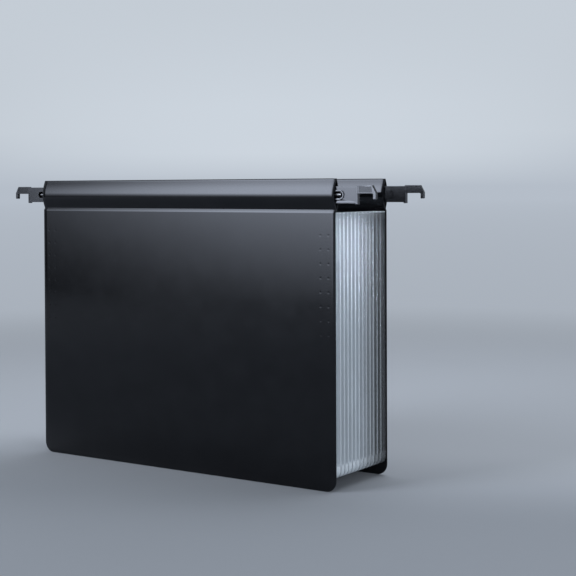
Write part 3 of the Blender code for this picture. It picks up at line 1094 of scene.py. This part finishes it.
def pleat_section(film, low, high, depth, flange_side):
    """The film across a pocket as (inward, y): an open V with a rounded fold.

    low and high are the planes of the seams or of the cover that it is fixed to. The flange side
    is FRONT or BACK for the pockets beside a cover, and None for the others.
    """
    thickness = film.thickness
    middle = (low + high) / 2
    half = (high - low) / 2
    bend = min(BEND_RADIUS, half * BEND_SHARE)
    hollow = max(bend - thickness, bend * HOLLOW_SHARE)
    outer, inner = [], []
    flank = math.atan2(half - bend, depth)
    centre = depth - bend
    for step in range(BEND_STEPS + 1):
        angle = -0.5 * math.pi + flank + (math.pi - 2 * flank) * step / BEND_STEPS
        for line, radius in ((inner, bend), (outer, hollow)):
            line.append((centre + radius * math.cos(angle), middle + radius * math.sin(angle)))
    outer = [(0.0, low + thickness)] + outer + [(0.0, high - thickness)]
    inner = [(0.0, low)] + inner + [(0.0, high)]
    if flange_side:
        start = low if flange_side == FRONT else high
        into = -flange_side * thickness
        strip = [(0.0, start), (film.flange_width, start), (film.flange_width, start + into)]
        strip.append((thickness * FLANGE_START, start + into))
        if flange_side == FRONT:
            inner = strip + inner[1:]
        else:
            inner = inner[:-1] + strip[::-1]
    return inner + outer[::-1]


def build_pleat(settings, pocket, materials):
    """Build the film of one pocket, fixed to what stands in front of it and behind it."""
    node = f"pleat_{pocket:02d}"
    low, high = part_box(node)
    flange_side = {1: FRONT, POCKETS: BACK}.get(pocket)

    def section_at(share):
        depth = settings.pleat_depth + (settings.corner_depth - settings.pleat_depth) * share
        return pleat_section(settings, low.y, high.y, depth, flange_side)

    stations = film_stations(settings, low, high, PLEAT_FADE)
    piece = swept_film(f"film_pleat_{pocket:02d}", section_at, stations, "frosted_film", materials)
    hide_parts(node)
    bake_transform(piece)


# A seam's section, as shares of half its width: how far its ridge rises, how much of that is lost
# where it is flattened, where the ridge's foot and the divider's edge lie, and how far apart its
# lips end.
RIDGE_RISE = 0.9
RIDGE_LOSS = 0.6
RIDGE_FOOT = 0.6
EDGE_SEAT = 0.9
LIP_SHARE = 0.7
RIDGE_STEPS = 8
SEAM_CLEARANCE = 0.00005


def build_seam(settings, number, materials):
    """Build the welded seam where the film of two pockets closes round a divider's edge."""
    low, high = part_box(f"divider_{number:02d}")
    pleat_low, pleat_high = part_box(f"pleat_{number:02d}")
    middle = (low.y + high.y) / 2
    half = settings.seam_width / 2
    sheet_half = (high.y - low.y) / 2 + SEAM_CLEARANCE
    depth = settings.seam_depth
    lip = [(depth, half * LIP_SHARE), (depth, sheet_half), (half * EDGE_SEAT, sheet_half)]
    lips = [(x, middle - y) for x, y in lip] + [(x, middle + y) for x, y in reversed(lip)]
    ridge = arc_points((0.0, 0.0), 1.0, math.pi / 2, 1.5 * math.pi, RIDGE_STEPS)

    def section_at(share):
        rise = half * (RIDGE_RISE - RIDGE_LOSS * share)
        return [(half * RIDGE_FOOT + x * rise, middle + y * half) for x, y in ridge] + lips

    stations = film_stations(settings, pleat_low, pleat_high, SEAM_FADE)
    piece = swept_film(f"film_seam_{number:02d}", section_at, stations, "frosted_film", materials)
    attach(piece, f"divider_{number:02d}")


class HANGINGFILE_OT_covers(bpy.types.Operator):
    """Build the two cover sheets"""

    bl_idname = "hangingfile.covers"
    bl_label = "Covers"

    def execute(self, context):
        settings = context.scene.hangingfile_cover
        material = black_plastic(
            "satin_black_sheet", settings.colour, roughness=0.105, level=0.37, grain=0.15, wave=0.10,
        )
        for side in PLACES:
            build_cover(settings, side, material)
        return {"FINISHED"}


class HANGINGFILE_OT_rails(bpy.types.Operator):
    """Build the rods and hook plates"""

    bl_idname = "hangingfile.rails"
    bl_label = "Rails"

    def execute(self, context):
        settings = context.scene.hangingfile_rail
        steel = drawn_steel("drawn_steel", settings.steel_colour)
        colour = settings.plate_colour
        polished = black_plastic("moulded_black", colour, roughness=0.20, level=0.70, grain=0.1)
        satin = black_plastic("moulded_black_plate", colour, roughness=0.22, level=0.55, grain=0.2)
        dull = black_plastic("moulded_black_arm", colour, roughness=0.26, level=0.38, grain=0.3)
        outlines = HookOutlines(settings)
        for side in PLACES:
            build_rod(settings, side, steel)
            for hand in SIDES:
                build_hook(settings, outlines, side, hand, (polished, satin, dull))
        return {"FINISHED"}


# Blender's rays pass only a few clear layers, so the plastics near the back cover are clearer and
# have painted shade: their colour is greyer, standing in for the dark back cover seen through them
# and the shade near it. A grade is the most pockets that may stand behind a piece, the alpha of its
# plastic and the share of its colour that the painted shade keeps.
FILM_SHADE_GRADES = (
    (1, 0.22, 0.30), (2, 0.22, 0.38), (4, 0.24, 0.68), (6, 0.30, 0.92), (POCKETS, 0.42, 1.0),
)
SHEET_SHADE_GRADES = (
    (1, 0.22, 0.30), (2, 0.24, 0.38), (3, 0.26, 0.68), (5, 0.34, 0.92), (POCKETS, 0.60, 1.0),
)
SEAM_SHADE_GRADES = ((1, 0.32, 0.70), (2, 0.32, 0.80), (4, 0.32, 0.90), (POCKETS, 0.24, 1.0))
RIM_ALPHA = 0.6
FILM_ROUGHNESS = 0.38
SHEET_ROUGHNESS = 0.42
SEAM_ROUGHNESS = 0.32


def shade_graded_materials(name, grades, colour, roughness):
    """A frosted plastic for each grade, with the most pockets that may stand behind its pieces, and its
    colour darkened by the grade's share as painted shade.
    """
    graded = []
    for last, alpha, share in grades:
        # Painted shade: the grade's share darkens the plastic's colour.
        material = frosted_plastic(f"{name}_{last:02d}", scaled(colour, share), alpha, roughness)
        graded.append((last, material))
    return graded


def material_for(graded, behind):
    """The material of a piece with a number of pockets behind it."""
    return next(material for last, material in graded if behind <= last)


class HANGINGFILE_OT_dividers(bpy.types.Operator):
    """Finish the divider sheets and build the seams round their edges"""

    bl_idname = "hangingfile.dividers"
    bl_label = "Dividers"

    def execute(self, context):
        settings = context.scene.hangingfile_film
        sheets = shade_graded_materials("frosted_sheet", SHEET_SHADE_GRADES, settings.sheet_colour, SHEET_ROUGHNESS)
        seams = shade_graded_materials("frosted_seam", SEAM_SHADE_GRADES, settings.colour, SEAM_ROUGHNESS)
        rim = frosted_plastic("frosted_seam_rim", settings.colour, RIM_ALPHA, SEAM_ROUGHNESS)
        for number in range(1, POCKETS):
            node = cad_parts[f"divider_{number:02d}"]
            node.data.materials.clear()
            behind = POCKETS - number
            node.data.materials.append(material_for(sheets, behind))
            build_seam(settings, number, (material_for(seams, behind), rim))
        return {"FINISHED"}


class HANGINGFILE_OT_pleats(bpy.types.Operator):
    """Build the pleated film of each pocket"""

    bl_idname = "hangingfile.pleats"
    bl_label = "Pleats"

    def execute(self, context):
        settings = context.scene.hangingfile_film
        films = shade_graded_materials("frosted_film", FILM_SHADE_GRADES, settings.colour, FILM_ROUGHNESS)
        rim = frosted_plastic("frosted_film_rim", settings.colour, RIM_ALPHA, FILM_ROUGHNESS)
        for pocket in range(1, POCKETS + 1):
            build_pleat(settings, pocket, (material_for(films, POCKETS - pocket), rim))
        return {"FINISHED"}


FLOOR_ROUGHNESS = 0.9
FLOOR_NOISE_SCALE = 3.0
FLOOR_NOISE = 0.03
# Distances from the file, in metres: where the floor gives way to the haze, and over which the
# haze turns into the horizon's colour.
HAZE_START = (0.7, 1.7)
HAZE_REACH = (0.9, 24.0)
HAZE_POWER = 0.4


def floor_material(settings):
    """The floor, with painted light in its colour: darker in front of the file, paler behind it; and
    the backdrop's haze far away.
    """
    material, tree, shader = new_material("studio_floor")
    place = object_place(tree)
    across = Vector((-math.sin(settings.sweep_turn), math.cos(settings.sweep_turn), 0.0))
    line = Vector(settings.sweep_middle).dot(across)
    start, end = line - settings.sweep_width, line + settings.sweep_width
    sweep = range_of(tree, dot_of(tree, place, across), 0.0, 1.0, start, end, smooth=True)
    spread = range_of(tree, noise_of(tree, place, FLOOR_NOISE_SCALE), -FLOOR_NOISE, FLOOR_NOISE)
    sweep = math_of(tree, "ADD", sweep, spread)
    # Painted light: the floor's colour turns paler behind the file, standing in for brighter light on
    # the floor there.
    tint = blend_of(tree, sweep, settings.floor_colour, settings.sweep_colour)
    tree.links.new(tint, shader.inputs["Base Color"])
    shader.inputs["Roughness"].default_value = FLOOR_ROUGHNESS
    shader.inputs["Specular IOR Level"].default_value = 0.0

    distance = tree.nodes.new("ShaderNodeVectorMath")
    distance.operation = "LENGTH"
    tree.links.new(place, distance.inputs[0])
    reach = distance.outputs["Value"]
    haze = tree.nodes.new("ShaderNodeEmission")
    rise = math_of(tree, "POWER", range_of(tree, reach, 0.0, 1.0, *HAZE_REACH), HAZE_POWER)
    haze_tint = blend_of(tree, rise, settings.haze_colour, settings.horizon_colour)
    tree.links.new(haze_tint, haze.inputs["Color"])
    far = range_of(tree, reach, 0.0, 1.0, *HAZE_START, smooth=True)
    seen = math_of(tree, "MULTIPLY", far, seen_of(tree))
    mix_shaders(tree, seen, shader.outputs["BSDF"], haze.outputs["Emission"], "Material Output")
    return material


FILL_COLOUR = (0.90, 0.95, 1.0, 1.0)
FILL_STRENGTH = 0.43
# The backdrop by height, where 0 is level and 1 is straight up, and by how far it is ahead of the
# camera, where 1 is the view's middle and 0 is square to it.
SKY_RISE = (0.0, 0.04)
GLOW_AHEAD = (0.975, 1.0)
GLOW_START = (0.0, 0.025)
GLOW_END = (0.06, 0.13)
GLOW_SHARE = 1.09
ROOM_ABOVE = (0.3, 0.6)
ROOM_SIDE = (-0.3, 0.4)


def studio_world(settings):
    """A pale backdrop that is seen behind the file and in its surfaces, and an even fill light."""
    world = bpy.data.worlds.new("studio")
    world.use_nodes = True
    tree = world.node_tree
    fill = tree.nodes["Background"]
    fill.inputs["Color"].default_value = FILL_COLOUR
    fill.inputs["Strength"].default_value = FILL_STRENGTH
    way = tree.nodes.new("ShaderNodeTexCoord").outputs["Generated"]
    ahead = dot_of(tree, way, (-math.sin(settings.camera_turn), math.cos(settings.camera_turn), 0.0))
    height = dot_of(tree, way, UP)
    lift = range_of(tree, height, 0.0, 1.0, *SKY_RISE)
    colour = blend_of(tree, lift, settings.horizon_colour, settings.sky_colour)
    starting = range_of(tree, height, 0.0, 1.0, *GLOW_START)
    ending = range_of(tree, height, 1.0, 0.0, *GLOW_END)
    band = math_of(tree, "MINIMUM", starting, ending)
    glow = math_of(tree, "MULTIPLY", range_of(tree, ahead, 0.0, 1.0, *GLOW_AHEAD), band)
    colour = blend_of(tree, glow, colour, scaled(settings.sky_colour, GLOW_SHARE))
    side = range_of(tree, ahead, 1.0, 0.0, *ROOM_SIDE, smooth=True)
    above = range_of(tree, height, 0.0, 1.0, *ROOM_ABOVE, smooth=True)
    colour = blend_of(tree, math_of(tree, "MAXIMUM", side, above), colour, settings.room_colour)
    back = tree.nodes.new("ShaderNodeBackground")
    tree.links.new(colour, back.inputs["Color"])
    seen = seen_of(tree)
    mix_shaders(tree, seen, fill.outputs["Background"], back.outputs["Background"], "World Output")
    bpy.context.scene.world = world


LAMP_COLOUR = (0.82, 0.89, 1.0)
# The key panel's sides, and where its light fades, in metres along it and up it from its foot.
KEY_LEFT, KEY_RIGHT = -1.0, 0.75
KEY_LEFT_FADE = (-0.80, 0.16)
KEY_RIGHT_FADE = (0.48, 0.75)
KEY_LOW_FADE = (-0.15, 0.40)
KEY_TOP_FADE = (1.0, 2.3)
KEY_TOP_SHARE = 0.4
# How far the left and the lower fade lean, as a share of the height and of the length along it.
KEY_LEAN = 0.1
KEY_LOW_LEAN = 0.12
KEY_LOW_POWER = 2.0


def glow_material(strength):
    """The key panel's light, which fades toward its sides, its top and the floor."""
    material, tree, shader = new_material("softbox_glow")
    place = object_place(tree)
    across = dot_of(tree, place, (1.0, 0.0, 0.0))
    height = dot_of(tree, place, UP)
    leaning = dot_of(tree, place, (1.0, 0.0, KEY_LEAN))
    leaning_height = dot_of(tree, place, (KEY_LOW_LEAN, 0.0, 1.0))
    left = range_of(tree, leaning, 0.0, strength, *KEY_LEFT_FADE, smooth=True)
    right = range_of(tree, across, 1.0, 0.0, *KEY_RIGHT_FADE, smooth=True)
    rising = range_of(tree, leaning_height, 0.0, 1.0, *KEY_LOW_FADE)
    low = math_of(tree, "POWER", rising, KEY_LOW_POWER)
    top = range_of(tree, height, 1.0, KEY_TOP_SHARE, *KEY_TOP_FADE, smooth=True)
    sides = math_of(tree, "MULTIPLY", left, right)
    ends = math_of(tree, "MULTIPLY", low, top)
    lamp = add_node(tree, "ShaderNodeEmission", Color=(*LAMP_COLOUR, 1.0))
    tree.links.new(math_of(tree, "MULTIPLY", sides, ends), lamp.inputs["Strength"])
    tree.nodes.remove(shader)
    tree.links.new(lamp.outputs["Emission"], tree.nodes["Material Output"].inputs["Surface"])
    return material


def turned(angle, axis):
    """A turn about an axis, as a matrix."""
    return Matrix.Rotation(angle, 4, axis)


def add_key_panel(settings):
    """A tall light panel in front of the file on the left, which the covers' gloss mirrors."""
    top = settings.key_height
    corners = [(KEY_LEFT, 0.0, 0.0), (KEY_RIGHT, 0.0, 0.0), (KEY_RIGHT, 0.0, top), (KEY_LEFT, 0.0, top)]
    glow = glow_material(settings.key_strength)
    panel = build_mesh("key_panel", corners, [(0, 1, 2, 3)], None, glow)
    panel.matrix_world = Matrix.Translation(settings.key_place) @ turned(-settings.camera_turn, "Z")
    panel.visible_camera = False


class Softbox(NamedTuple):
    """A rectangular lamp: where it stands, what it faces, its size, power and width of beam."""

    place: tuple
    target: tuple
    size: tuple
    power: float
    beam: float = math.pi


FILE_MIDDLE = (0.0, 0.0, 0.13)
FILM_TARGET = (0.165, -0.022, 0.208)
SOFTBOXES = {
    "top_softbox": Softbox((0.15, 0.55, 1.55), FILE_MIDDLE, (1.4, 1.2), 20.0),
    "right_softbox": Softbox((1.35, -0.45, 0.40), FILE_MIDDLE, (0.8, 0.6), 9.5),
    "film_softbox": Softbox((0.42, -0.27, 0.35), FILM_TARGET, (0.08, 0.06), 0.014, math.radians(15)),
}


def add_softbox(name, box):
    """A lamp that faces its target and stays out of view."""
    lamp = bpy.data.lights.new(name, "AREA")
    lamp.shape = "RECTANGLE"
    lamp.size, lamp.size_y = box.size
    lamp.energy = box.power
    lamp.color = LAMP_COLOUR
    lamp.spread = box.beam
    holder = bpy.data.objects.new(name, lamp)
    holder.location = box.place
    way = Vector(box.target) - Vector(box.place)
    holder.rotation_euler = way.to_track_quat("-Z", "Y").to_euler()
    holder.visible_camera = False
    bpy.context.collection.objects.link(holder)


# The camera's frame, in millimetres, and how near and far it sees, in metres.
FRAME_WIDTH = 36.0
VIEW_START, VIEW_END = 0.05, 200.0


def add_camera(settings):
    """The camera, at the place and angle that the file is shown from."""
    lens = bpy.data.cameras.new("camera")
    lens.sensor_width = FRAME_WIDTH
    lens.lens = settings.focal_length
    lens.shift_y = settings.shift
    lens.clip_start = VIEW_START
    lens.clip_end = VIEW_END
    camera = bpy.data.objects.new("camera", lens)
    turn = turned(settings.camera_turn, "Z")
    tilt = turned(math.pi / 2 - settings.camera_tilt, "X")
    roll = turned(settings.camera_roll, "Z")
    camera.matrix_world = Matrix.Translation(settings.camera_place) @ turn @ tilt @ roll
    bpy.context.collection.objects.link(camera)
    bpy.context.scene.camera = camera


class HANGINGFILE_OT_stage(bpy.types.Operator):
    """Build the floor, the backdrop, the lamps and the camera"""

    bl_idname = "hangingfile.stage"
    bl_label = "Studio"

    def execute(self, context):
        settings = context.scene.hangingfile_studio
        add_camera(settings)
        radius = settings.floor_radius
        ends = ((-radius, -radius), (radius, -radius), (radius, radius), (-radius, radius))
        corners = [(x, y, 0.0) for x, y in ends]
        floor = build_mesh("studio_floor", corners, [(0, 1, 2, 3)], None, floor_material(settings))
        studio_world(settings)
        add_key_panel(settings)
        for name, box in SOFTBOXES.items():
            add_softbox(name, box)
        context.scene.view_settings.view_transform = "Standard"
        return {"FINISHED"}


class HANGINGFILE_PT_panel(bpy.types.Panel):
    """Lists the steps that dress the hanging file"""

    bl_idname = "HANGINGFILE_PT_panel"
    bl_label = "Hanging File"
    bl_space_type = "VIEW_3D"
    bl_region_type = "UI"
    bl_category = "Hanging File"

    def draw(self, context):
        layout = self.layout
        for name, operators in STEPS.items():
            box = layout.box()
            group = getattr(context.scene, f"hangingfile_{name}")
            for key in group.bl_rna.properties.keys():
                if key not in ("rna_type", "name"):
                    box.prop(group, key)
            for operator in operators:
                box.operator(operator)


STEPS = {
    "studio": ("hangingfile.stage",),
    "cover": ("hangingfile.covers",),
    "rail": ("hangingfile.rails",),
    "film": ("hangingfile.dividers", "hangingfile.pleats"),
}
SETTINGS = {
    "studio": StudioSettings,
    "cover": CoverSettings,
    "rail": RailSettings,
    "film": FilmSettings,
}
CLASSES = (
    *SETTINGS.values(),
    HANGINGFILE_OT_stage,
    HANGINGFILE_OT_covers,
    HANGINGFILE_OT_rails,
    HANGINGFILE_OT_dividers,
    HANGINGFILE_OT_pleats,
    HANGINGFILE_PT_panel,
)


def register():
    """Make the classes and their settings known to Blender."""
    for item in CLASSES:
        bpy.utils.register_class(item)
    for name, group in SETTINGS.items():
        setattr(bpy.types.Scene, f"hangingfile_{name}", PointerProperty(type=group))


def unregister():
    """Take the classes and their settings out again."""
    for name in SETTINGS:
        delattr(bpy.types.Scene, f"hangingfile_{name}")
    for item in reversed(CLASSES):
        bpy.utils.unregister_class(item)


def main():
    """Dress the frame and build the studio."""
    register()
    bpy.ops.hangingfile.stage()
    bpy.ops.hangingfile.covers()
    bpy.ops.hangingfile.rails()
    bpy.ops.hangingfile.dividers()
    bpy.ops.hangingfile.pleats()


if __name__ == "__main__":
    main()
